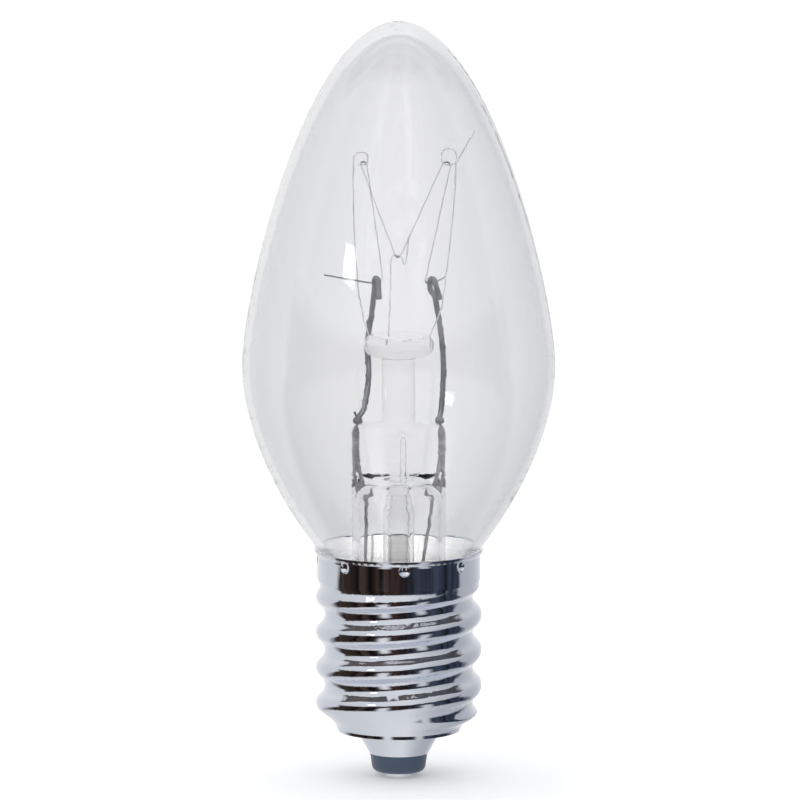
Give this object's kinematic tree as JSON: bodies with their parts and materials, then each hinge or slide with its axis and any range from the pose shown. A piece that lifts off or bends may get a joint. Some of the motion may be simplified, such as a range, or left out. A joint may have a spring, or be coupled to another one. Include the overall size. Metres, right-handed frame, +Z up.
{
  "type": "light bulb",
  "caption": "Clear flame-shaped night-light bulb with a coiled filament on wire supports, a glass stem and a small metal screw cap.",
  "frame": {"origin": "middle of the flat end of the centre contact, at the foot of the cap", "axes": "+Z up the bulb's axis from the contact to the glass tip, -Y towards the viewer, +X to the viewer's right"},
  "size_m": [0.0222, 0.0222, 0.054],
  "materials": {
    "bulb_glass": "clear and fire polished",
    "stem_glass": "clear, with pinch marks",
    "nickel_wire": "dull drawn nickel",
    "seal_wire": "copper-clad nickel-iron wire in glass",
    "copper_wire": "bare drawn copper",
    "molybdenum_wire": "thin drawn molybdenum",
    "tungsten_coil": "fine coiled tungsten",
    "nickel_plate": "bright nickel-plated brass sheet",
    "cement": "pale baked basing cement",
    "dark_glass": "satin slate-blue insulating glass",
    "tinned_brass": "tinned brass",
    "solder": "smooth solder"
  },
  "bodies": {
    "root": {"glass_envelope": "bulb_glass", "stem": "stem_glass", "exhaust_tube": "stem_glass", "button_rod": "stem_glass", "left_inner_lead": "nickel_wire", "right_inner_lead": "nickel_wire", "left_seal_wire": "seal_wire", "right_seal_wire": "seal_wire", "side_lead": "copper_wire", "contact_lead": "copper_wire", "left_support": "molybdenum_wire", "right_support": "molybdenum_wire", "centre_support": "molybdenum_wire", "filament": "tungsten_coil", "screw_shell": "nickel_plate", "basing_cement": "cement", "insulator": "dark_glass", "contact_eyelet": "tinned_brass", "tip_solder": "solder", "side_solder": "solder"}
  },
  "joints": []
}
